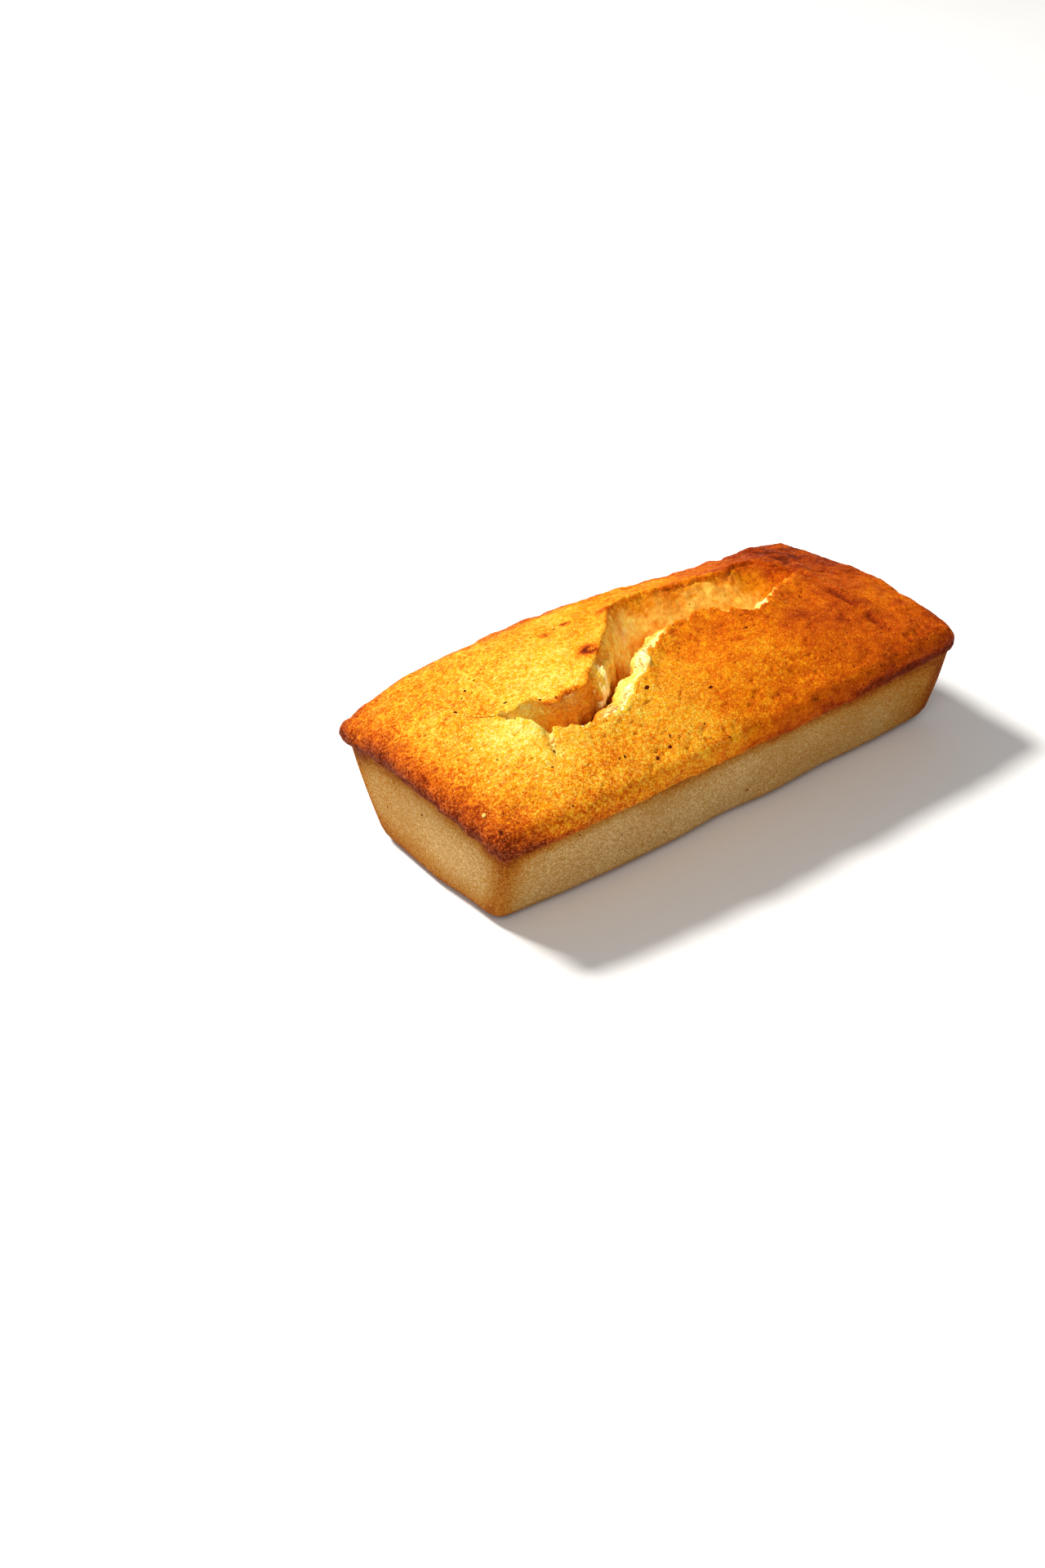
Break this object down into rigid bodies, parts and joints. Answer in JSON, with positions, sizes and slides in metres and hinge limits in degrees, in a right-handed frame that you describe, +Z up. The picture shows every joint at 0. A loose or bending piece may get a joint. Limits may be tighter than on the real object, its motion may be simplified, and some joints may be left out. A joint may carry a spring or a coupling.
{
  "type": "financier cake",
  "caption": "Small oblong almond cake baked in a sloping mould, with pale sides, an overhanging crust rim and a golden domed top split lengthwise.",
  "frame": {"origin": "centre of the cake's bounding box, on the plane it rests on", "axes": "+X along the length, +Y across the width, +Z up"},
  "size_m": [0.0926, 0.0498, 0.0278],
  "materials": {
    "cake": "grainy golden-brown baked crust over pale almond crumb"
  },
  "bodies": {
    "root": {"cake": "cake"}
  },
  "joints": []
}
